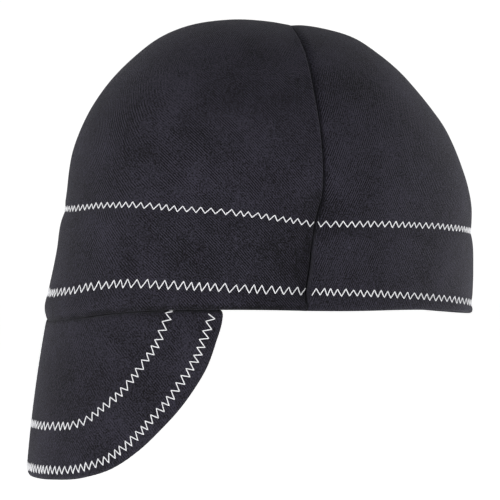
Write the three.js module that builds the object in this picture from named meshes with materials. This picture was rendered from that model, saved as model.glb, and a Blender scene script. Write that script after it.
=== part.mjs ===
// Welding cap: a close round crown of cotton twill with a deep turned-up band, cut as a front and a
// rear panel that meet in one seam over the top from ear to ear, and a short stitched cloth bill that
// hangs down steeply under the front of the band.
// Lengths are in millimetres. +Z is up, -Y is the front and +X is the wearer's left. The origin is the
// middle of the head opening, level with the rim at the ears.

import * as THREE from 'three';

// Driving sizes of the crown
const frontReach = 105;
const backReach = 105.5;
const halfWidth = 82;
const seamHeight = 136.6;
const seamSetback = 13.8;
const seamLead = 2.1;
const frontRimDip = 6.3;
const backRimDip = 4.2;
const frontDipSharpness = 6;
const backDipSharpness = 3;

// Driving sizes of the turned-up band, whose two stitch lines are measured up from the rim
const frontBand = 54;
const earBand = 39.5;
const backBand = 41;
const frontHem = 13.6;
const earHem = 8.2;
const backHem = 4.6;

// Driving sizes of the cloth
const clothWall = 1.5;
const bandWall = 3;
const seamGap = 0.3;
const seamDip = 0.7;
const seamDipWidth = 5;
const pinchDepth = 3;
const pinchWidth = 15;
const pinchHeight = 10;
const pinchRise = 6;

// Driving sizes of the bill
const billSpread = THREE.MathUtils.degToRad(67.9);
const billDrop = 79.5;
const billFlare = 9.6;
const billSideFlare = 4;
const billBow = 1;
const billWall = 2.2;
const billInset = 1;
const billGap = 0.3;

// How finely the curved walls are divided
const panelColumns = 26;
const billColumns = 44;
const billRows = 7;

// The band from the rim up to the upper stitch line. line is 0 at the rim, 1 at the lower stitch line
// and 2 at the upper one. front, side and back are shares of the rim's reach from the top of the seam,
// and seam is how far the seam has moved from its place at the rim to its place at the top.
const bandSections = [
  { line: 0.0, front: 0.996, side: 0.996, back: 0.996, seam: 0.0 },
  { line: 0.4, front: 1.0, side: 1.0, back: 1.0, seam: 0.0 },
  { line: 1.0, front: 0.986, side: 0.992, back: 0.997, seam: 0.03 },
  { line: 1.15, front: 0.974, side: 0.996, back: 1.0, seam: 0.05 },
  { line: 1.5, front: 0.948, side: 0.996, back: 1.003, seam: 0.12 },
  { line: 1.86, front: 0.935, side: 0.992, back: 1.0, seam: 0.17 },
  { line: 1.95, front: 0.918, side: 0.982, back: 0.995, seam: 0.2 },
  { line: 2.0, front: 0.917, side: 0.98, back: 0.993, seam: 0.22 },
];

// The crown from the upper stitch line to the top of the seam. The rises are shares of the height
// between the two, so the front passes 1 where the crown swells above the seam.
const domeSections = [
  { frontRise: 0.02, sideRise: 0.02, backRise: 0.02, front: 0.917, side: 0.981, back: 0.993, seam: 0.25 },
  { frontRise: 0.105, sideRise: 0.115, backRise: 0.112, front: 0.91, side: 0.978, back: 0.992, seam: 0.375 },
  { frontRise: 0.205, sideRise: 0.21, backRise: 0.213, front: 0.9, side: 0.967, back: 0.97, seam: 0.465 },
  { frontRise: 0.307, sideRise: 0.315, backRise: 0.313, front: 0.886, side: 0.945, back: 0.934, seam: 0.503 },
  { frontRise: 0.408, sideRise: 0.41, backRise: 0.414, front: 0.862, side: 0.915, back: 0.891, seam: 0.51 },
  { frontRise: 0.514, sideRise: 0.49, backRise: 0.507, front: 0.825, side: 0.882, back: 0.839, seam: 0.503 },
  { frontRise: 0.62, sideRise: 0.573, backRise: 0.597, front: 0.773, side: 0.838, back: 0.767, seam: 0.497 },
  { frontRise: 0.727, sideRise: 0.655, backRise: 0.688, front: 0.708, side: 0.78, back: 0.685, seam: 0.51 },
  { frontRise: 0.826, sideRise: 0.743, backRise: 0.778, front: 0.631, side: 0.701, back: 0.594, seam: 0.553 },
  { frontRise: 0.922, sideRise: 0.822, backRise: 0.865, front: 0.534, side: 0.61, back: 0.482, seam: 0.6 },
  { frontRise: 0.99, sideRise: 0.89, backRise: 0.945, front: 0.416, side: 0.5, back: 0.348, seam: 0.67 },
  { frontRise: 1.02, sideRise: 0.943, backRise: 0.986, front: 0.262, side: 0.37, back: 0.18, seam: 0.81 },
  { frontRise: 1.018, sideRise: 0.985, backRise: 1.0, front: 0.13, side: 0.2, back: 0.08, seam: 0.945 },
  { frontRise: 1.0, sideRise: 1.0, backRise: 1.0, front: 0, side: 0, back: 0, seam: 1 },
];

// Half of the bill's outer edge, from its middle to its end under the side of the band. angle is a
// share of the bill's spread and drop a share of its lowest point.
const billEdge = [
  { angle: 0.0, drop: 1.0 },
  { angle: 0.22, drop: 0.996 },
  { angle: 0.44, drop: 0.967 },
  { angle: 0.57, drop: 0.912 },
  { angle: 0.69, drop: 0.8 },
  { angle: 0.775, drop: 0.68 },
  { angle: 0.845, drop: 0.563 },
  { angle: 0.9, drop: 0.445 },
  { angle: 0.945, drop: 0.325 },
  { angle: 0.978, drop: 0.18 },
  { angle: 1.0, drop: 0.06 },
];

// Value between three given at the front, at an ear and at the back, smooth all the way round.
// turn is 1 straight ahead, 0 at an ear and -1 straight behind.
function around(front, ear, back, turn) {
  return ear + (front - back) / 2 * turn + ((front + back) / 2 - ear) * turn * turn;
}

// Heights of the rim and of the two stitch lines at a turn round the head.
function rimHeight(turn) {
  if (turn > 0) return -frontRimDip * turn ** frontDipSharpness;
  return -backRimDip * Math.abs(turn) ** backDipSharpness;
}

function stitchHeight(turn, front, ear, back) {
  return rimHeight(turn) + ear + ((turn > 0 ? front : back) - ear) * Math.abs(turn);
}

// Plan position on a section whose reaches are given, at an angle round the head from the front.
function planPoint(angle, ahead, aside, behind, seamY) {
  const turn = Math.cos(angle);
  return [aside * Math.sin(angle), around(-ahead, seamY, behind, turn)];
}

// A point of the crown on one section before its folds. side is 1 for the rear panel and -1 for the
// front panel, and each keeps half of the seam gap.
function crownPoint(section, angle, side) {
  const turn = Math.cos(angle);
  const hem = stitchHeight(turn, frontHem, earHem, backHem);
  const band = stitchHeight(turn, frontBand, earBand, backBand);
  const ahead = section.front * (frontReach + seamSetback) - seamSetback;
  const aside = section.side * halfWidth;
  const behind = section.back * (backReach - seamSetback) + seamSetback;
  const seamY = section.seam * (seamSetback + seamLead) - seamLead;
  const [x, y] = planPoint(angle, ahead, aside, behind, seamY);
  let z;
  if (section.line === undefined) {
    z = band + around(section.frontRise, section.sideRise, section.backRise, turn) * (seamHeight - band);
  } else if (section.line < 1) {
    z = THREE.MathUtils.lerp(rimHeight(turn), hem, section.line);
  } else {
    z = THREE.MathUtils.lerp(hem, band, section.line - 1);
  }
  return new THREE.Vector3(x, y + side * seamGap / 2, z);
}

// How far the cloth is drawn in along the seam, and in the pinch where the seam crosses the band's edge.
function foldDepth(fromSeam, height) {
  const alongSeam = seamDip * Math.exp(-((fromSeam / seamDipWidth) ** 2));
  const rise = (height - earBand - pinchRise) / pinchHeight;
  const pinch = pinchDepth * Math.exp(-((fromSeam / pinchWidth) ** 2) - rise * rise);
  return alongSeam + pinch;
}

// Outward direction of a grid of points at one row and column, worked out from its neighbours.
function outward(grid, row, column) {
  const last = grid.length - 1;
  const end = grid[0].length - 1;
  const up = grid[Math.min(row + 1, last)][column].clone().sub(grid[Math.max(row - 1, 0)][column]);
  const along = grid[row][Math.min(column + 1, end)].clone().sub(grid[row][Math.max(column - 1, 0)]);
  return along.cross(up).normalize();
}

// Closed wall between an outer and an inner grid of points. Where the top row is one point, its empty
// triangles are left out.
function wallGeometry(outer, inner) {
  const rows = outer.length;
  const columns = outer[0].length;
  const points = [...outer.flat(), ...inner.flat()];
  const index = [];
  const triangle = (a, b, c) => {
    const [p, q, r] = [points[a], points[b], points[c]];
    const area = q.clone().sub(p).cross(r.clone().sub(p)).length();
    if (area > 1e-6) index.push(a, b, c);
  };
  const quad = (a, b, c, d) => {
    triangle(a, b, c);
    triangle(a, c, d);
  };
  const face = (row, column) => row * columns + column;
  const back = (row, column) => rows * columns + face(row, column);
  for (let row = 0; row < rows - 1; row++) {
    for (let column = 0; column < columns - 1; column++) {
      quad(face(row, column), face(row, column + 1), face(row + 1, column + 1), face(row + 1, column));
      quad(back(row, column), back(row + 1, column), back(row + 1, column + 1), back(row, column + 1));
    }
    const end = columns - 1;
    quad(face(row, 0), face(row + 1, 0), back(row + 1, 0), back(row, 0));
    quad(face(row, end), back(row, end), back(row + 1, end), face(row + 1, end));
  }
  for (let column = 0; column < columns - 1; column++) {
    const top = rows - 1;
    quad(face(0, column), back(0, column), back(0, column + 1), face(0, column + 1));
    quad(face(top, column), face(top, column + 1), back(top, column + 1), back(top, column));
  }
  const geometry = new THREE.BufferGeometry();
  geometry.setAttribute('position', new THREE.Float32BufferAttribute(points.flatMap((p) => p.toArray()), 3));
  geometry.setIndex(index);
  return geometry;
}

// One crown panel, from the rim up to the top of the seam and from ear to ear round the front or back.
function crownPanel(side) {
  const sections = [...bandSections, ...domeSections];
  const edge = Math.asin(seamDipWidth / halfWidth);
  const middle = side > 0 ? Math.PI : 0;
  const angles = [middle - Math.PI / 2];
  for (let i = 0; i <= panelColumns; i++) {
    angles.push(middle + (Math.PI / 2 - edge) * (2 * i / panelColumns - 1));
  }
  angles.push(middle + Math.PI / 2);
  const top = sections.length - 1;
  const end = angles.length - 1;
  const sunk = (grid, depth) => grid.map((line, row) => line.map((point, column) => {
    const direction = row === top ? new THREE.Vector3(0, 0, 1) : outward(grid, row, column);
    const moved = point.clone().addScaledVector(direction, -depth(row, column));
    if (row === 0) moved.z = point.z;
    if (column === 0 || column === end) moved.y = point.y;
    return moved;
  }));
  const smooth = sections.map((section) => angles.map((angle) => crownPoint(section, angle, side)));
  const fold = (row, column) => foldDepth(smooth[row][column].y - smooth[row][0].y, smooth[row][column].z);
  const outer = sunk(smooth, fold);
  const inner = sunk(outer, (row) => (row < bandSections.length ? bandWall : clothWall));
  return wallGeometry(outer, inner);
}

// The bill, a curved plate that follows the rim, flares forward as it hangs and ends in its round edge.
function billGeometry() {
  const half = billEdge.map((row) => new THREE.Vector2(row.angle, row.drop));
  const mirrored = half.slice(1).reverse().map((point) => new THREE.Vector2(-point.x, point.y));
  const edge = new THREE.SplineCurve([...mirrored, ...half]).getPoints(billColumns);
  const outer = [];
  for (let row = 0; row <= billRows; row++) {
    outer.push(edge.map((point) => {
      const angle = point.x * billSpread;
      const top = rimHeight(Math.cos(angle)) - billGap;
      const z = THREE.MathUtils.lerp(-billDrop * point.y, top, row / billRows);
      const depth = (top - z) / (billDrop - frontRimDip);
      const bow = billBow * 4 * depth * (1 - depth);
      const ahead = frontReach - billInset + billFlare * depth + bow;
      const aside = halfWidth - billInset + billSideFlare * depth + bow;
      return new THREE.Vector3(...planPoint(angle, ahead, aside, backReach, -seamLead), z);
    }));
  }
  const inner = outer.map((line, row) => line.map((point, column) => {
    const moved = point.clone().addScaledVector(outward(outer, row, column), -billWall);
    if (row === billRows) moved.z = point.z;
    return moved;
  }));
  return wallGeometry(outer, inner);
}

// Charcoal cotton twill, a little lighter on the bill where it is stretched over its stiffer core
const crownCloth = { color: 0x35343a, roughness: 0.92, metalness: 0 };
const billCloth = { color: 0x38373e, roughness: 0.9, metalness: 0 };

function piece(name, geometry, cloth) {
  const mesh = new THREE.Mesh(geometry, new THREE.MeshStandardMaterial(cloth));
  mesh.name = name;
  return mesh;
}

const cap = new THREE.Group();
cap.add(piece('crown_front_panel', crownPanel(-1), crownCloth));
cap.add(piece('crown_rear_panel', crownPanel(1), crownCloth));
cap.add(piece('bill', billGeometry(), billCloth));

export default cap;
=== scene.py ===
# Welding cap: a close crown of charcoal cotton twill with a deep turned-up band and a short hanging
# bill, stitched in white zigzag. Metres, +Z up, -Y the front and +X the wearer's left.

import math
import random

import bmesh
import bpy
import numpy as np
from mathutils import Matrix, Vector
from mathutils.bvhtree import BVHTree


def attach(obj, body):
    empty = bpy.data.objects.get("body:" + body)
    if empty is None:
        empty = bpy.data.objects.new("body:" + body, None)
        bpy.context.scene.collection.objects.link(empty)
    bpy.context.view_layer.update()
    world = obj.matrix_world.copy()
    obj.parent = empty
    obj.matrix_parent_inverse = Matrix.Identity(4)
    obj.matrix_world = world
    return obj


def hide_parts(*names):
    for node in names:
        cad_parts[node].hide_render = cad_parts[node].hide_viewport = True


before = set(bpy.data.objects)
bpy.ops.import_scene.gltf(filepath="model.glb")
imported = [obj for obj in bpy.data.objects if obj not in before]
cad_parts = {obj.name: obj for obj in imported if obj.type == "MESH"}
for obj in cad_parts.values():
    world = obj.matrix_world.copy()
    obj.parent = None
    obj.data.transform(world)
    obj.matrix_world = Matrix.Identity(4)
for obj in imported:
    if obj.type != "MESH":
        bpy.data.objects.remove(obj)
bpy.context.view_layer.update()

# Camera: stands level with the band, 17 degrees ahead of the wearer's left side, and far enough off
# for a long portrait lens, so that the front of the cap turns a little towards it.
camera_distance = 1.3
camera_turn = math.radians(17)
view_width = 0.2425
view_middle = Vector((-0.00142, -0.00464, 0.0273))

towards_camera = Vector((math.cos(camera_turn), -math.sin(camera_turn), 0))
camera = bpy.data.objects.new("camera", bpy.data.cameras.new("camera"))
camera.data.angle = 2 * math.atan(view_width / 2 / camera_distance)
camera.location = view_middle + towards_camera * camera_distance
camera.rotation_euler = (-towards_camera).to_track_quat("-Z", "Y").to_euler()
bpy.context.scene.collection.objects.link(camera)
bpy.context.scene.camera = camera

# Crown panels: the front and the rear half of the crown, each cut in one piece of cotton twill from
# the rim to the top and sewn together in one seam from ear to ear. The cloth is turned up inside as
# far as the upper row of stitches, so the band under that row is two layers thick.
front_reach = 0.105
back_reach = 0.106
half_width = 0.082
seam_height = 0.1365
seam_setback = 0.0138
seam_lead = 0.0021
front_rim_dip, front_dip_sharpness = 0.0068, 6
back_rim_dip, back_dip_sharpness = 0.0042, 3
front_band, ear_band, back_band = 0.0538, 0.039, 0.0399
front_hem, ear_hem, back_hem = 0.0132, 0.0084, 0.0048

# Where the soft band gives: how far each line moves up or down, at which turn from the front (the
# cosine of its angle) and over how wide a stretch of it
rim_give, rim_give_turn, rim_give_width = -0.001, -0.18, 0.3
hem_give, hem_give_turn, hem_give_width = 0.0013, 0.82, 0.2
band_give, band_give_turn, band_give_width = -0.0016, 0.64, 0.25

# One layer of cloth, the two layers of the band and the least wall left at a folded edge. The turn-up
# ends a little above the upper row of stitches.
cloth_wall = 0.0015
band_wall = 0.003
folded_edge_wall = 0.00004
hem_fold = band_wall / 2
turn_up_past_row, turn_up_softness = 0.003, 0.0003

# The seam: each panel's edge rolls in towards it, less at the rim and at the top, and the front panel
# has a low lip beside the roll
seam_edge_gap = 0.00002
seam_edge_wall = 0.0005
seam_roll_width, seam_roll_depth = 0.0013, 0.0036
rim_roll_reach, rim_roll_share = 0.005, 0.1
top_roll_heights, top_roll_shares = (0.131, 0.136), (1, 0.05)
front_lip, front_lip_place, front_lip_width = 0.0005, 0.0016, 0.0012

# Where the thread pulls the cloth in: the front panel's band beside the seam, the pinch of both panels
# just above the band, and a groove under each row of stitches
front_draw, front_draw_width = 0.0055, 0.0085
front_draw_heights = (0.0, 0.008, 0.026, 0.036, 0.05)
front_draw_shares = (0, 1, 1, 0.3, 0)
pinch_depth, pinch_width, pinch_height, pinch_rise = 0.005, 0.008, 0.009, 0.007
stitch_groove, stitch_groove_width = 0.0005, 0.0016

# Painted shade, a darker colour where the seam's pull would shade the cloth: 1 where the cloth is pulled in
# as deep as the first value below. The front panel's hem and the band beside the seam are painted darker
# too.
full_shade_depth = 0.0045
hem_shade_width, hem_shade = 0.003, 1.7
band_shade, band_shade_width = 0.22, 0.035

# Height of the soft waves in the cloth, the wide and the close ones, and how near the seam they end
wide_wave, close_wave = 0.00045, 0.00022
still_seam_width = 0.004

# Columns of each panel's mesh, the share of them that is evenly spaced while the rest crowds towards
# the seam, how much the rows crowd towards the rim's fold, and how near two points are made one
panel_columns = 360
even_columns = 0.35
fold_crowding = 1.6
weld_distance = 2e-6

# The band from the rim to the upper row of stitches: line is 0 at the rim, 1 at the lower row and 2 at
# the upper one, and front, side and back are shares of the rim's reach. seam is how far the seam has
# moved from its place at the rim to its place at the top.
#   line, front, side, back, seam
band_sections = [
    (0.0, 0.99, 0.996, 0.996, 0.0),
    (0.4, 1.0, 1.0, 1.0, 0.0),
    (1.0, 0.986, 0.992, 0.997, 0.05),
    (1.15, 0.974, 0.996, 1.0, 0.09),
    (1.5, 0.9465, 0.996, 1.003, 0.185),
    (1.86, 0.926, 0.992, 1.0, 0.24),
    (1.95, 0.916, 0.982, 0.995, 0.285),
    (2.0, 0.914, 0.98, 0.993, 0.32),
]
lower_row_level = 2
upper_row_level = 7

# The crown from the upper row of stitches to the top of the seam, with each rise a share of the height
# between the two.
#   front rise, side rise, back rise, front, side, back, seam
dome_sections = [
    (0.02, 0.02, 0.02, 0.913, 0.981, 0.993, 0.36),
    (0.105, 0.115, 0.112, 0.905, 0.978, 0.99, 0.515),
    (0.205, 0.21, 0.213, 0.896, 0.967, 0.966, 0.54),
    (0.307, 0.315, 0.313, 0.882, 0.945, 0.929, 0.55),
    (0.408, 0.41, 0.414, 0.858, 0.915, 0.886, 0.556),
    (0.514, 0.49, 0.507, 0.822, 0.882, 0.836, 0.55),
    (0.62, 0.573, 0.597, 0.772, 0.838, 0.767, 0.54),
    (0.727, 0.655, 0.688, 0.709, 0.78, 0.687, 0.543),
    (0.826, 0.743, 0.778, 0.634, 0.701, 0.597, 0.573),
    (0.922, 0.822, 0.865, 0.538, 0.61, 0.485, 0.598),
    (0.99, 0.89, 0.945, 0.42, 0.5, 0.35, 0.625),
    (1.02, 0.943, 0.984, 0.262, 0.37, 0.18, 0.675),
    (1.018, 0.985, 0.996, 0.13, 0.2, 0.08, 0.82),
    (1.0, 1.0, 1.0, 0.0, 0.0, 0.0, 1.0),
]

# Rows of the mesh between one section and the next, closest at the rim's fold and at the stitches
rows_between_sections = [10, 6, 6, 9, 9, 6, 3, 3, 6] + [6] * 12

# How far the rear panel is drawn down beside the seam, at heights up the seam. Inside, each panel's
# seam allowance reaches down to the other panel's edge.
seam_draw_heights = (0.0, 0.010, 0.026, 0.036, 0.060, 0.085, 0.105, 0.122, 0.1335, 0.136)
seam_draw_depths = (0.0, 0.0006, 0.0008, 0.0010, 0.0008, 0.0009, 0.0012, 0.0018, 0.0013, 0.0)
seam_draw_width = 0.0023
allowance_width = 0.004


def bell(distance, width):
    return np.exp(-((distance / width) ** 2))


def slack(distance, width):
    """Share that is left of a pull at this distance from it."""
    return np.exp(-distance / width)


def around(front, ear, back, turn):
    """Value between three given at the front, at an ear and at the back. turn is the cosine of the
    angle from the front."""
    return ear + (front - back) / 2 * turn + ((front + back) / 2 - ear) * turn * turn


def rim_height(turn):
    ahead = -front_rim_dip * np.abs(turn) ** front_dip_sharpness
    behind = -back_rim_dip * np.abs(turn) ** back_dip_sharpness
    return np.where(turn > 0, ahead, behind)


def row_height(turn, front, ear, back):
    """Height of a row of stitches that lies at these heights above the rim."""
    return rim_height(turn) + ear + (np.where(turn > 0, front, back) - ear) * np.abs(turn)


def plan_point(angle, ahead, aside, behind, seam_y):
    return aside * np.sin(angle), around(-ahead, seam_y, behind, np.cos(angle))


def crown_sections(angles):
    """The crown's sections, as one row of points for each, at these angles round the head."""
    turn = np.cos(angles)
    rim = rim_height(turn) + rim_give * bell(turn - rim_give_turn, rim_give_width)
    hem = row_height(turn, front_hem, ear_hem, back_hem)
    hem += hem_give * bell(turn - hem_give_turn, hem_give_width)
    band = row_height(turn, front_band, ear_band, back_band)
    band += band_give * bell(turn - band_give_turn, band_give_width)
    heights = []
    shares = []
    for line, *share in band_sections:
        heights.append(rim + (hem - rim) * line if line < 1 else hem + (band - hem) * (line - 1))
        shares.append(share)
    for front_rise, side_rise, back_rise, *share in dome_sections:
        rise = around(front_rise, side_rise, back_rise, turn)
        heights.append(band + rise * (seam_height - band))
        shares.append(share)
    rows = []
    for height, (front, side, back, seam) in zip(heights, shares):
        ahead = front * (front_reach + seam_setback) - seam_setback
        behind = back * (back_reach - seam_setback) + seam_setback
        seam_y = seam * (seam_setback + seam_lead) - seam_lead
        x, y = plan_point(angles, ahead, side * half_width, behind, seam_y)
        rows.append(np.stack([x, y, height], axis=1))
    return np.array(rows)


def through(rows, levels):
    """Smooth curves through the rows of points, read at levels that count the rows."""
    steps = np.diff(rows, axis=0)
    gaps = np.linalg.norm(steps, axis=-1, keepdims=True)
    steps = steps / gaps
    slopes = np.concatenate([steps[:1], steps])
    slopes[1:-1] = (steps[:-1] * gaps[1:] + steps[1:] * gaps[:-1]) / (gaps[1:] + gaps[:-1])
    points = []
    for level in levels:
        i = min(int(level), len(rows) - 2)
        t = level - i
        start = (1 + 2 * t) * (1 - t) ** 2 * rows[i] + t * (1 - t) ** 2 * gaps[i] * slopes[i]
        end = t * t * (3 - 2 * t) * rows[i + 1] + t * t * (t - 1) * gaps[i] * slopes[i + 1]
        points.append(start + end)
    return np.array(points)


def outward(points):
    """Outward direction at each point of a grid whose rows run up and whose columns run along."""
    up = np.gradient(points, axis=0)
    along = np.gradient(points, axis=1)
    direction = np.cross(along, up)
    length = np.linalg.norm(direction, axis=-1, keepdims=True)
    return np.where(length > 1e-12, direction / np.maximum(length, 1e-12), (0, 0, 1))


def fold_round(distance, radius):
    """How far a cloth's face has turned inwards at this distance from its folded edge."""
    across = np.clip(radius - distance, 0, radius)
    return radius - np.sqrt(radius * radius - across * across)


def cloth_levels():
    """Levels of the mesh's rows. Those of the first section crowd towards the rim's fold."""
    levels = []
    for section, rows in enumerate(rows_between_sections):
        for row in range(rows):
            share = row / rows
            levels.append(section + (share ** fold_crowding if section == 0 else share))
    return levels + [len(rows_between_sections)]


def soft_waves(points):
    """Slow rise and fall of the soft cloth over the head. The wide waves are about 110 mm from crest to
    crest and the close ones about 50 mm."""
    x, y, z = points[..., 0], points[..., 1], points[..., 2]
    wide = np.sin(46 * x + 31 * z + 0.4) * np.sin(52 * y - 24 * z + 1.1)
    close = np.sin(95 * y + 70 * z + 40 * x) * np.sin(88 * z - 60 * y + 2.0)
    return wide_wave * wide + close_wave * close


def closed_wall(name, outer, inner, painted_shade):
    """Closed wall of cloth between two grids of points, starting from a flat grid. The last argument is the
    painted shade at each of them, kept in a layer that darkens the cloth's colour. Its layer is made first,
    because a layer that is added later loses which points are the inner wall's."""
    rows, columns = outer.shape[0] - 1, outer.shape[1] - 1
    wall = bmesh.new()
    worn_nap_and_shade = wall.verts.layers.float.new("painted_shade")
    bmesh.ops.create_grid(wall, x_segments=columns, y_segments=rows, size=1)
    faces = wall.faces[:]
    layer = bmesh.ops.extrude_face_region(wall, geom=faces, use_keep_orig=True)
    inside = {part for part in layer["geom"] if isinstance(part, bmesh.types.BMVert)}
    for vert in wall.verts:
        column = round((vert.co.x + 1) / 2 * columns)
        row = round((vert.co.y + 1) / 2 * rows)
        vert.co = (inner if vert in inside else outer)[row, column]
        vert[worn_nap_and_shade] = painted_shade[row, column]
    bmesh.ops.remove_doubles(wall, verts=wall.verts[:], dist=weld_distance)
    bmesh.ops.recalc_face_normals(wall, faces=wall.faces[:])
    for face in wall.faces:
        face.smooth = True
    mesh = bpy.data.meshes.new(name)
    wall.to_mesh(mesh)
    surface = BVHTree.FromBMesh(wall)
    wall.free()
    piece = bpy.data.objects.new(name, mesh)
    bpy.context.scene.collection.objects.link(piece)
    return piece, surface


def crown_panel(name, middle, twill):
    """One panel of the crown. middle is the angle at its middle, 0 at the front and half a turn
    behind."""
    rear = middle > 0
    share = np.linspace(-1, 1, panel_columns + 1)
    crowded = np.sin(math.pi / 2 * share)
    angles = middle + math.pi / 2 * (even_columns * share + (1 - even_columns) * crowded)
    levels = cloth_levels()
    smooth = through(crown_sections(angles), levels)
    smooth[..., 1] += seam_edge_gap if rear else -seam_edge_gap
    direction = outward(smooth)
    direction[-1] = (0, 0, 1)
    climb = np.linalg.norm(np.diff(smooth, axis=0), axis=-1)
    from_rim = np.concatenate([np.zeros((1, len(angles))), np.cumsum(climb, axis=0)])
    from_seam = np.abs(smooth[..., 1] - smooth[:, :1, 1])
    height = smooth[..., 2]
    lower_row = from_rim[levels.index(lower_row_level)]
    upper_row = from_rim[levels.index(upper_row_level)]

    draw = pinch_depth * slack(from_seam, pinch_width) * bell(height - ear_band - pinch_rise, pinch_height)
    front_pull = front_draw * np.interp(height, front_draw_heights, front_draw_shares)
    rear_pull = np.interp(height, seam_draw_heights, seam_draw_depths)
    if not rear:
        draw += front_pull * slack(from_seam, front_draw_width)
    below_top = np.interp(height, top_roll_heights, top_roll_shares)
    # Painted shade in the cloth's colour: darker where the thread draws the cloth in and along the band
    # beside the seam
    painted_shade = draw / full_shade_depth
    painted_shade += band_shade * slack(from_seam, band_shade_width) * (from_rim < upper_row)
    sink = draw
    if rear:
        sink += rear_pull * bell(from_seam, seam_draw_width)
    else:
        # Painted shade along the front panel's hem, darkest at its fold over the bill
        painted_shade += hem_shade * np.clip(1 - from_rim / hem_shade_width, 0, 1)
        sink -= front_lip * below_top * bell(from_seam - front_lip_place, front_lip_width)
    for row in (lower_row, upper_row):
        sink += stitch_groove * bell(from_rim - row, stitch_groove_width)
    sink -= soft_waves(smooth) * (1 - bell(from_seam, still_seam_width))
    face = smooth - direction * sink[..., None]

    edge = below_top * seam_roll_depth / seam_roll_width * fold_round(from_seam, seam_roll_width)
    edge *= np.interp(from_rim, (0, rim_roll_reach), (rim_roll_share, 1))
    rim = fold_round(from_rim, hem_fold)
    turned_up = 1 / (1 + np.exp((from_rim - upper_row - turn_up_past_row) / turn_up_softness))
    wall = cloth_wall + (band_wall - cloth_wall) * turned_up
    allowance = (front_pull if rear else rear_pull) * bell(from_seam, allowance_width)
    thickness = (np.maximum(wall - edge, seam_edge_wall) + allowance) * (1 - rim / hem_fold)
    outer = face - direction * (edge + rim)[..., None]
    inner = outer - direction * np.maximum(thickness, folded_edge_wall)[..., None]
    keep_behind = np.maximum if rear else np.minimum
    for layer in (outer, inner):
        layer[..., 1] = keep_behind(layer[..., 1], smooth[:, :1, 1])
        layer[:, (0, -1), 1] = smooth[:, (0, -1), 1]
    piece, surface = closed_wall(name, outer, inner, np.clip(painted_shade, 0, 1))
    piece.data.materials.append(twill)
    rows = {"lower": face[levels.index(lower_row_level)], "upper": face[levels.index(upper_row_level)]}
    return piece, surface, rows


def linear(hex_colour):
    """Linear colour of an sRGB hex value."""
    parts = [int(hex_colour[i:i + 2], 16) / 255 for i in (1, 3, 5)]
    return [*(p / 12.92 if p <= 0.04045 else ((p + 0.055) / 1.055) ** 2.4 for p in parts), 1.0]


def node(tree, kind, settings, **inputs):
    """A node with its settings, and each input set to a value or linked to another node's output."""
    new = tree.nodes.new(kind)
    for name, value in settings.items():
        setattr(new, name, value)
    for name, value in inputs.items():
        socket = new.inputs[int(name[1:])] if name[1:].isdigit() else new.inputs[name.replace("_", " ")]
        if isinstance(value, bpy.types.NodeSocket):
            tree.links.new(value, socket)
        else:
            socket.default_value = value
    return new


# Cotton twill, woven and piece-dyed charcoal: matt and faintly blue, with raised slanting ribs and a
# soft fuzz that catches the light where the cloth turns away.
# Ribs of such twill lie about half a millimetre apart and its fuzz is finer still. One pixel of the
# render is 0.485 mm, so the ribs are drawn 0.97 mm apart and the fuzz in flecks of 0.7 mm, as coarse as
# they need to be to show. The ribs waver over about 4 mm, their clear and worn patches are about 6 mm
# wide, and the dye's mottle is about 22 mm wide.
twill_rib_spacing = 0.00097
flecks_a_metre = 1450.0
wavers_a_metre = 260.0
patches_a_metre = 170.0
mottles_a_metre = 45.0
rib_waver = 3.0
side_sharpness = 3.0
worn_strength = 0.05
fleck_contrast, fleck_level = 3.4, -1.74
# Painted shade: how much darker the cloth's colour gets where a piece's painted shade is full
painted_shade_tone = -0.4


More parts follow.
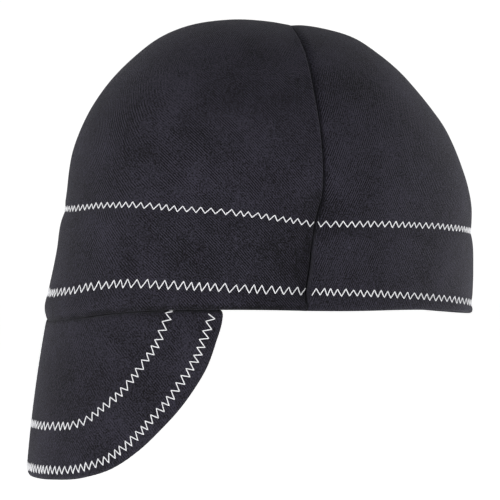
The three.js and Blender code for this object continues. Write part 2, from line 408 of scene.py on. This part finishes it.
def cotton_twill(name, rib_strength, rib_angle, falling, facing):
    """rib_angle is the ribs' slope in degrees, falling is 1 where they fall to the right and -1 where
    they rise, and facing is -1 for cloth round the front of the head and 1 for cloth round the back."""
    material = bpy.data.materials.new(name)
    material.use_nodes = True
    tree = material.node_tree
    tree.nodes.clear()
    coordinates = node(tree, "ShaderNodeTexCoord", {})
    place = coordinates.outputs["Object"]
    turned = node(tree, "ShaderNodeSeparateXYZ", {}, Vector=coordinates.outputs["Normal"])
    spread = node(tree, "ShaderNodeSeparateXYZ", {}, Vector=place)
    left_or_right = node(tree, "ShaderNodeMath", {"operation": "SIGN"}, _0=spread.outputs["X"])
    back_and_forth = node(tree, "ShaderNodeMath", {"operation": "MULTIPLY"}, _0=spread.outputs["Y"],
                          _1=left_or_right.outputs[0])
    round_side = node(tree, "ShaderNodeCombineXYZ", {}, X=spread.outputs["X"],
                      Y=back_and_forth.outputs[0], Z=spread.outputs["Z"]).outputs[0]
    drift = node(tree, "ShaderNodeTexNoise", {}, Vector=place, Scale=wavers_a_metre,
                 Detail=2.0).outputs["Fac"]

    slope = math.radians(rib_angle)
    along, up = falling * math.sin(slope), math.cos(slope)
    ribs = None
    total = None
    for axis, source, across in (("X", round_side, (0, along, up)), ("Y", place, (-facing * along, 0, up)),
                                 ("Z", place, (up, along, 0))):
        wave = Vector(across) * (2 * math.pi / twill_rib_spacing)
        phase = node(tree, "ShaderNodeVectorMath", {"operation": "DOT_PRODUCT"}, _0=source, _1=wave)
        waver = node(tree, "ShaderNodeMath", {"operation": "MULTIPLY_ADD"}, _0=drift, _1=rib_waver,
                     _2=phase.outputs["Value"])
        rib = node(tree, "ShaderNodeMath", {"operation": "SINE"}, _0=waver.outputs[0])
        square = node(tree, "ShaderNodeMath", {"operation": "MULTIPLY"}, _0=turned.outputs[axis],
                      _1=turned.outputs[axis])
        weight = node(tree, "ShaderNodeMath", {"operation": "POWER"}, _0=square.outputs[0],
                      _1=side_sharpness)
        share = node(tree, "ShaderNodeMath", {"operation": "MULTIPLY_ADD"}, _0=rib.outputs[0],
                     _1=weight.outputs[0], _2=0.0 if ribs is None else ribs)
        added = node(tree, "ShaderNodeMath", {"operation": "ADD"}, _0=weight.outputs[0],
                     _1=0.0 if total is None else total)
        ribs, total = share.outputs[0], added.outputs[0]
    rib = node(tree, "ShaderNodeMath", {"operation": "DIVIDE"}, _0=ribs, _1=total)

    yarn = node(tree, "ShaderNodeTexNoise", {}, Vector=place, Scale=flecks_a_metre, Detail=2.0,
                Roughness=0.7)
    mottle = node(tree, "ShaderNodeTexNoise", {}, Vector=place, Scale=mottles_a_metre, Detail=3.0,
                  Roughness=0.55)
    worn_nap_and_shade = node(tree, "ShaderNodeTexNoise", {}, Vector=place, Scale=patches_a_metre, Detail=1.0)
    clarity = node(tree, "ShaderNodeMapRange", {}, Value=worn_nap_and_shade.outputs["Fac"])
    clarity.inputs["From Min"].default_value = 0.35
    clarity.inputs["From Max"].default_value = 0.65
    clarity.inputs["To Min"].default_value = worn_strength
    clarity.inputs["To Max"].default_value = rib_strength
    fuzz = node(tree, "ShaderNodeMath", {"operation": "MULTIPLY_ADD"}, _0=yarn.outputs["Fac"],
                _1=fleck_contrast, _2=fleck_level)
    weave = node(tree, "ShaderNodeMath", {"operation": "MULTIPLY_ADD"}, _0=rib.outputs[0],
                 _1=clarity.outputs[0], _2=fuzz.outputs[0])
    # Painted shade: each piece's layer darkens the colour where the cloth is drawn in, beside the seam,
    # along the front hem and on the bill under the hem
    painted_shade = node(tree, "ShaderNodeAttribute", {"attribute_name": "painted_shade"})
    flat = node(tree, "ShaderNodeMath", {"operation": "MULTIPLY_ADD"}, _0=painted_shade.outputs["Fac"],
                _1=painted_shade_tone, _2=mottle.outputs["Fac"])
    tone = node(tree, "ShaderNodeMath", {"operation": "ADD"}, _0=weave.outputs[0], _1=flat.outputs[0])
    colour = node(tree, "ShaderNodeMix", {"data_type": "RGBA", "clamp_factor": True}, _0=tone.outputs[0])
    colour.inputs[6].default_value = linear("#060508")
    colour.inputs[7].default_value = linear("#32303b")
    bump = node(tree, "ShaderNodeBump", {}, Strength=0.6, Distance=0.0003, Height=weave.outputs[0])
    cloth = node(tree, "ShaderNodeBsdfPrincipled", {}, Base_Color=colour.outputs[2], Roughness=0.9,
                 IOR=1.45, Sheen_Weight=0.1, Sheen_Roughness=0.4, Normal=bump.outputs["Normal"])
    cloth.inputs["Sheen Tint"].default_value = linear("#dcdce8")
    cloth.inputs["Specular IOR Level"].default_value = 0.2
    end = node(tree, "ShaderNodeOutputMaterial", {})
    tree.links.new(cloth.outputs["BSDF"], end.inputs["Surface"])
    return material


front_twill = cotton_twill("front_cotton_twill", 0.75, 50, 1, -1)
rear_twill = cotton_twill("rear_cotton_twill", 0.7, 65, -1, 1)

front_panel, front_surface, front_rows = crown_panel("front_panel_cloth", 0, front_twill)
rear_panel, rear_surface, rear_rows = crown_panel("rear_panel_cloth", math.pi, rear_twill)
for panel, cad_panel in ((front_panel, "crown_front_panel"), (rear_panel, "crown_rear_panel")):
    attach(panel, "root")
    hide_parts(cad_panel)

# Bill: two layers of the same twill over a thin springy core, sewn under the front of the rim. It hangs
# down steeply, follows the curve of the brow and ends in a rounded edge.
bill_spread = math.radians(67.9)
bill_drop = 0.0798
bill_flare = 0.0098
bill_side_flare = 0.004
bill_bow = 0.001
bill_wall = 0.0022
bill_inset = 0.0007
bill_sewn_in = 0.0008
edge_curl, edge_curl_width = 0.0014, 0.0045
bill_stitch_groove = 0.0003
bill_fan = 0.55
bill_reach = 0.095

# How far the bill's upper edge tucks in behind the hem, and the share of it at these angles from the
# front, in radians
bill_tuck, bill_tuck_width = 0.0026, 0.0007
tuck_angles, tuck_shares = (0.2, 0.6), (0.1, 1)

# Columns and rows of the bill's mesh, the first rows at these distances from its edge, and the points
# that its edge line, the search for the nearest edge and each row of stitches are drawn with
bill_columns = 300
bill_edge_rows = (0, 0.00010, 0.00024, 0.00042, 0.00065, 0.00092, 0.00125, 0.0017, 0.0022, 0.0028)
bill_rows = 64
edge_samples = 2000
nearest_points = 500
row_points = 600

# Half of the bill's edge, from its middle to its end under the side of the band.
#   share of the spread, share of the drop
bill_edge = [
    (0.0, 1.0), (0.22, 0.996), (0.44, 0.967), (0.57, 0.912), (0.69, 0.8), (0.775, 0.68),
    (0.845, 0.563), (0.9, 0.445), (0.945, 0.325), (0.978, 0.18), (1.0, 0.06), (1.003, -0.01),
]

# How far the two rows of stitches lie from the edge, at shares of the way from its middle to its end
row_shares = (0, 0.3, 0.42, 0.5, 0.6, 0.75, 0.85, 0.92, 1)
outer_row_insets = (0.0045, 0.0045, 0.0046, 0.0050, 0.0058, 0.0062, 0.0056, 0.0052, 0.0050)
inner_row_insets = (0.0249, 0.0247, 0.0262, 0.0266, 0.0254, 0.0257, 0.0246, 0.0242, 0.0240)


def bill_point(angle, height):
    turn = np.cos(angle)
    depth = (rim_height(turn) - height) / (bill_drop - front_rim_dip)
    bow = bill_bow * 4 * depth * (1 - depth)
    at_side = np.interp(np.abs(angle), tuck_angles, tuck_shares)
    tuck = bill_inset + bill_tuck * at_side * slack(depth * bill_drop, bill_tuck_width)
    ahead = front_reach - tuck + bill_flare * depth + bow
    aside = half_width - tuck + bill_side_flare * depth + bow
    x, y = plan_point(angle, ahead, aside, back_reach, -seam_lead)
    return np.stack([x, y, height], axis=-1)


def bill_edge_line(count):
    """Evenly spaced points of the edge from one end of the bill to the other, laid out flat."""
    half = [(share * bill_spread * bill_reach, -drop * bill_drop) for share, drop in bill_edge]
    corners = np.array([(-x, z) for x, z in half[:0:-1]] + half)
    line = through(corners, np.linspace(0, len(corners) - 1, edge_samples))
    travel = np.concatenate([[0], np.cumsum(np.linalg.norm(np.diff(line, axis=0), axis=1))])
    even = np.linspace(0, travel[-1], count)
    return np.stack([np.interp(even, travel, line[:, axis]) for axis in (0, 1)], axis=1)


def row_insets(insets, count):
    """These distances from the edge, at as many even steps along the whole of it."""
    return np.interp(np.abs(np.linspace(-1, 1, count)), row_shares, insets)


def from_edge(flat):
    """Distance of each laid out point from the bill's edge, and which point of the edge is nearest."""
    line = bill_edge_line(nearest_points)
    away = np.array([np.linalg.norm(row[:, None] - line[None], axis=-1) for row in flat])
    return away.min(axis=-1), away.argmin(axis=-1)


edge_line = bill_edge_line(bill_columns + 1)
top_angle = bill_fan * edge_line[:, 0] / bill_reach
top_line = np.stack([top_angle * bill_reach, rim_height(np.cos(top_angle)) + bill_sewn_in], axis=1)
column_length = np.linalg.norm(top_line - edge_line, axis=1, keepdims=True)
near = [distance / column_length for distance in bill_edge_rows]
start = near[-1]
shares = near + [start + (1 - start) * row / bill_rows for row in range(1, bill_rows + 1)]
flat_bill = np.array([edge_line + (top_line - edge_line) * share for share in shares])
bill_angles = flat_bill[..., 0] / bill_reach
smooth_bill = bill_point(bill_angles, flat_bill[..., 1])
bill_out = outward(smooth_bill)
inset, nearest = from_edge(flat_bill)
edge_roll = fold_round(inset, bill_wall / 2)
groove = 0.0
for insets in (outer_row_insets, inner_row_insets):
    from_row = inset - row_insets(insets, nearest_points)[nearest]
    groove = groove + bill_stitch_groove * bell(from_row, stitch_groove_width)
curl = edge_curl * np.clip(1 - inset / edge_curl_width, 0, 1) ** 2
bill_face = smooth_bill - bill_out * (edge_roll + groove + curl)[..., None]
bill_thickness = np.maximum(bill_wall - 2 * edge_roll - 2 * groove, folded_edge_wall)
bill_back = bill_face - bill_out * bill_thickness[..., None]
# Painted shadow on the bill's face, darkest at its top edge where it goes in under the hem
below_rim = rim_height(np.cos(bill_angles)) - flat_bill[..., 1]
bill_painted_shade = np.clip(slack(below_rim, bill_tuck_width), 0, 1)
bill, bill_surface = closed_wall("bill_cloth", bill_face, bill_back, bill_painted_shade)
bill_twill = cotton_twill("bill_cotton_twill", 0.4, 55, 1, -1)
bill.data.materials.append(bill_twill)
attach(bill, "root")
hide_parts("bill")

# Zigzag stitching: white spun polyester thread, two rows round the crown and two along the bill's edge.
# It goes down a needle hole at each tip and lies on the cloth between them, on both sides.
thread_radius = 0.00025
tube_weld_distance = 1e-7

# How much a stitch's length and its width vary, and how far ahead and behind a row's direction is read
length_spread = 0.12
width_spread = 0.1
direction_reach = 0.001

# How the thread lies between two holes: share of the way, and height over the cloth in thread radii
thread_lie = ((0, -0.3), (0.12, 0.5), (0.3, 0.95), (0.5, 1.05), (0.7, 0.95), (0.88, 0.5))

# White spun polyester: satin, with lint about a millimetre apart that breaks the light up along it. The
# twist of the real thread is finer than a pixel, so the lint stands in for it.
thread_white = bpy.data.materials.new("white_spun_thread")
thread_white.use_nodes = True
tree = thread_white.node_tree
tree.nodes.clear()
place = node(tree, "ShaderNodeTexCoord", {}).outputs["Object"]
lint = node(tree, "ShaderNodeTexNoise", {}, Vector=place, Scale=900.0, Detail=2.0)
shade = node(tree, "ShaderNodeMix", {"data_type": "RGBA"}, _0=lint.outputs["Fac"])
shade.inputs[6].default_value = linear("#c8c8ce")
shade.inputs[7].default_value = linear("#fafafa")
twist = node(tree, "ShaderNodeBump", {}, Strength=0.4, Distance=0.0001, Height=lint.outputs["Fac"])
spun = node(tree, "ShaderNodeBsdfPrincipled", {}, Base_Color=shade.outputs[2], Roughness=0.55, IOR=1.5,
            Sheen_Weight=0.2, Normal=twist.outputs["Normal"])
tree.links.new(spun.outputs["BSDF"], node(tree, "ShaderNodeOutputMaterial", {}).inputs["Surface"])


def spaced_along(line, positions):
    """Points and directions at these distances along a line of points."""
    line = np.array(line)
    travel = np.concatenate([[0], np.cumsum(np.linalg.norm(np.diff(line, axis=0), axis=1))])
    points = np.stack([np.interp(positions, travel, line[:, axis]) for axis in range(3)], axis=1)
    later, sooner = positions + direction_reach, positions - direction_reach
    ahead = np.stack([np.interp(later, travel, line[:, axis]) for axis in range(3)], axis=1)
    behind = np.stack([np.interp(sooner, travel, line[:, axis]) for axis in range(3)], axis=1)
    return points, ahead - behind, travel[-1]


def zigzag(line, surface, start, pitches, width, lean, first, seed):
    """Needle holes of one row of zigzag along a line that lies on a surface, from a start to as far
    from its end. pitches are its lengths of stitch at even steps along it, lean the share of a stitch
    that a leg takes on its way to the line's right, and first 1 where the row starts on the line's left
    and -1 on its right."""
    draw = random.Random(seed)
    total = spaced_along(line, np.array([0.0]))[2]
    holes = []
    position = start
    side = first
    while position < total - start:
        holes.append((position, side))
        stitch = np.interp(position / total, np.linspace(0, 1, len(pitches)), pitches)
        leg = stitch * (lean if side > 0 else 1 - lean)
        position += leg + draw.uniform(-length_spread, length_spread) * stitch
        side = -side
    points, ahead, _ = spaced_along(line, np.array([hole[0] for hole in holes]))
    tips = []
    for point, forward, (_, side) in zip(points, ahead, holes):
        place, normal, _, _ = surface.find_nearest(Vector(point))
        across = normal.cross(Vector(forward)).normalized()
        reach = width / 2 * (1 + draw.uniform(-width_spread, width_spread))
        place, normal, _, _ = surface.find_nearest(place + across * reach * side)
        tips.append((place, normal))
    return tips


def laid_thread(tips, surface, radius):
    """Path of the thread from hole to hole, lying on the surface between them."""
    path = []
    for (tip, _), (following, _) in zip(tips, tips[1:]):
        for share, lift in thread_lie:
            place, normal, _, _ = surface.find_nearest(tip.lerp(following, share))
            path.append(place + normal * lift * radius)
    return path


def both_sides(tips, surface, wall, radius):
    """Paths of the thread on the face of the cloth and, two holes shorter at each end, on its back. The
    needle goes straight through, whichever way the cloth leans at a hole."""
    behind = []
    for tip, normal in tips[2:-2]:
        needle = Vector((normal.x, normal.y, 0)).normalized()
        behind.append(surface.find_nearest(tip - needle * wall)[:2])
    return [laid_thread(tips, surface, radius), laid_thread(behind, surface, radius)]


def thread(name, paths, radius):
    """One piece of all the thread along these paths, as closed round tubes."""
    curve = bpy.data.curves.new(name, "CURVE")
    curve.dimensions = "3D"
    curve.bevel_depth = radius
    curve.bevel_resolution = 1
    curve.use_fill_caps = True
    for path in paths:
        spline = curve.splines.new("POLY")
        spline.points.add(len(path) - 1)
        for point, place in zip(spline.points, path):
            point.co = (*place, 1)
    swept = bpy.data.objects.new(name + "_path", curve)
    mesh = bpy.data.meshes.new_from_object(swept)
    mesh.name = name
    bpy.data.objects.remove(swept)
    tube = bmesh.new()
    tube.from_mesh(mesh)
    bmesh.ops.remove_doubles(tube, verts=tube.verts[:], dist=tube_weld_distance)
    bmesh.ops.recalc_face_normals(tube, faces=tube.faces[:])
    for face in tube.faces:
        face.smooth = True
    tube.to_mesh(mesh)
    tube.free()
    mesh.materials.clear()
    mesh.materials.append(thread_white)
    piece = bpy.data.objects.new(name, mesh)
    bpy.context.scene.collection.objects.link(piece)
    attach(piece, "root")
    return piece


def crown_row(line, surface, start, pitches, width, lean, first, seed):
    tips = zigzag(line, surface, start, pitches, width, lean, first, seed)
    return both_sides(tips, surface, band_wall, thread_radius)


# Each row starts at the seam on the wearer's left, so on the front panel it runs the other way. The
# stitches of the rear panel's lower row grow longer towards the back of the head.
side_pitches = (0.0038, 0.0038, 0.0050, 0.0052)
rear_lower_pitches = (*side_pitches, 0.0053, *side_pitches[::-1])
lower_paths = crown_row(front_rows["lower"][::-1], front_surface, 0.0014, (0.0042,), 0.0041, 0.4, -1, 11)
lower_paths += crown_row(rear_rows["lower"], rear_surface, 0.0011, rear_lower_pitches, 0.0034, 0.48, -1, 12)
upper_paths = crown_row(front_rows["upper"][::-1], front_surface, 0.0013, (0.0041,), 0.0029, 0.45, -1, 13)
upper_paths += crown_row(rear_rows["upper"], rear_surface, 0.0012, (0.0040,), 0.0030, 0.43, 1, 14)
lower_stitching = thread("lower_stitching", lower_paths, thread_radius)
upper_stitching = thread("upper_stitching", upper_paths, thread_radius)


def bill_row(insets):
    """Line on the bill's face at these distances from its edge."""
    line = bill_edge_line(row_points)
    tangent = np.gradient(line, axis=0)
    tangent /= np.linalg.norm(tangent, axis=1, keepdims=True)
    inwards = np.stack([-tangent[:, 1], tangent[:, 0]], axis=1)
    offset = line + row_insets(insets, row_points)[:, None] * inwards
    angle = offset[:, 0] / bill_reach
    below = offset[:, 1] < rim_height(np.cos(angle))
    return bill_point(angle[below], offset[below, 1])


outer_pitches = (0.0041, 0.0035, 0.0033, 0.0035, 0.0041)
inner_pitches = (0.0044, 0.0042, 0.0041, 0.0042, 0.0044)
outer_tips = zigzag(bill_row(outer_row_insets), bill_surface, 0, outer_pitches, 0.0038, 0.42, 1, 15)
inner_tips = zigzag(bill_row(inner_row_insets), bill_surface, 0, inner_pitches, 0.0037, 0.42, 1, 16)
bill_paths = both_sides(outer_tips, bill_surface, bill_wall, thread_radius)
bill_paths += both_sides(inner_tips, bill_surface, bill_wall, thread_radius)
bill_stitching = thread("bill_stitching", bill_paths, thread_radius)

# Studio: a plain pale floor well under the bill's edge, light walls all round and a darker ceiling, with
# one soft lamp at each side to draw the cap's two outlines and a weaker one above the camera.
floor_height = -0.12
floor = bpy.data.objects.new("floor", bpy.data.meshes.new("floor"))
ground = bmesh.new()
bmesh.ops.create_grid(ground, x_segments=1, y_segments=1, size=6)
bmesh.ops.translate(ground, verts=ground.verts[:], vec=(0, 0, floor_height))
ground.to_mesh(floor.data)
ground.free()
bpy.context.scene.collection.objects.link(floor)
paper = bpy.data.materials.new("pale_paper")
paper.use_nodes = True
paper.node_tree.nodes["Principled BSDF"].inputs["Base Color"].default_value = linear("#fafafa")
paper.node_tree.nodes["Principled BSDF"].inputs["Roughness"].default_value = 1.0
paper.node_tree.nodes["Principled BSDF"].inputs["Emission Color"].default_value = linear("#ffffff")
paper.node_tree.nodes["Principled BSDF"].inputs["Emission Strength"].default_value = 0.7
floor.data.materials.append(paper)

world = bpy.data.worlds.new("studio")
bpy.context.scene.world = world
world.use_nodes = True
tree = world.node_tree
tree.nodes.clear()
direction = node(tree, "ShaderNodeTexCoord", {}).outputs["Generated"]
height = node(tree, "ShaderNodeSeparateXYZ", {}, Vector=direction).outputs["Z"]
towards_ceiling = node(tree, "ShaderNodeMapRange", {"interpolation_type": "SMOOTHSTEP"}, Value=height)
towards_ceiling.inputs["From Min"].default_value = 0.08
towards_ceiling.inputs["From Max"].default_value = 0.7
towards_ceiling.inputs["To Min"].default_value = 1.0
towards_ceiling.inputs["To Max"].default_value = 0.15
nearness = node(tree, "ShaderNodeVectorMath", {"operation": "DOT_PRODUCT"}, _0=direction,
                _1=towards_camera).outputs["Value"]
wall = node(tree, "ShaderNodeMapRange", {"interpolation_type": "SMOOTHSTEP"}, Value=nearness)
wall.inputs["From Min"].default_value = -0.9
wall.inputs["From Max"].default_value = 0.6
wall.inputs["To Min"].default_value = 1.05
wall.inputs["To Max"].default_value = 1.02
strength = node(tree, "ShaderNodeMath", {"operation": "MULTIPLY"}, _0=wall.outputs["Result"],
                _1=towards_ceiling.outputs["Result"])
sky = node(tree, "ShaderNodeBackground", {}, Color=(1, 1, 1, 1), Strength=strength.outputs[0])
tree.links.new(sky.outputs[0], node(tree, "ShaderNodeOutputWorld", {}).inputs["Surface"])


def soft_lamp(name, place, size, watts):
    """Square lamp at a place, turned to the middle of the cap."""
    lamp = bpy.data.lights.new(name, "AREA")
    lamp.size = size
    lamp.energy = watts
    stand = bpy.data.objects.new(name, lamp)
    stand.location = place
    stand.rotation_euler = (view_middle - Vector(place)).to_track_quat("-Z", "Y").to_euler()
    bpy.context.scene.collection.objects.link(stand)


sideways = Vector((math.sin(camera_turn), math.cos(camera_turn), 0))
soft_lamp("lamp_front", -sideways * 0.905 + towards_camera * 0.8 - Vector((0, 0, 0.06)), 0.5, 8)
soft_lamp("lamp_rear", sideways * 1.13 - towards_camera * 0.4 + Vector((0, 0, 0.18)), 0.5, 5)
soft_lamp("lamp_above", sideways * 0.25 + towards_camera * 0.95 + Vector((0, 0, 0.45)), 0.4, 2.4)

bpy.context.scene.view_settings.view_transform = "Standard"
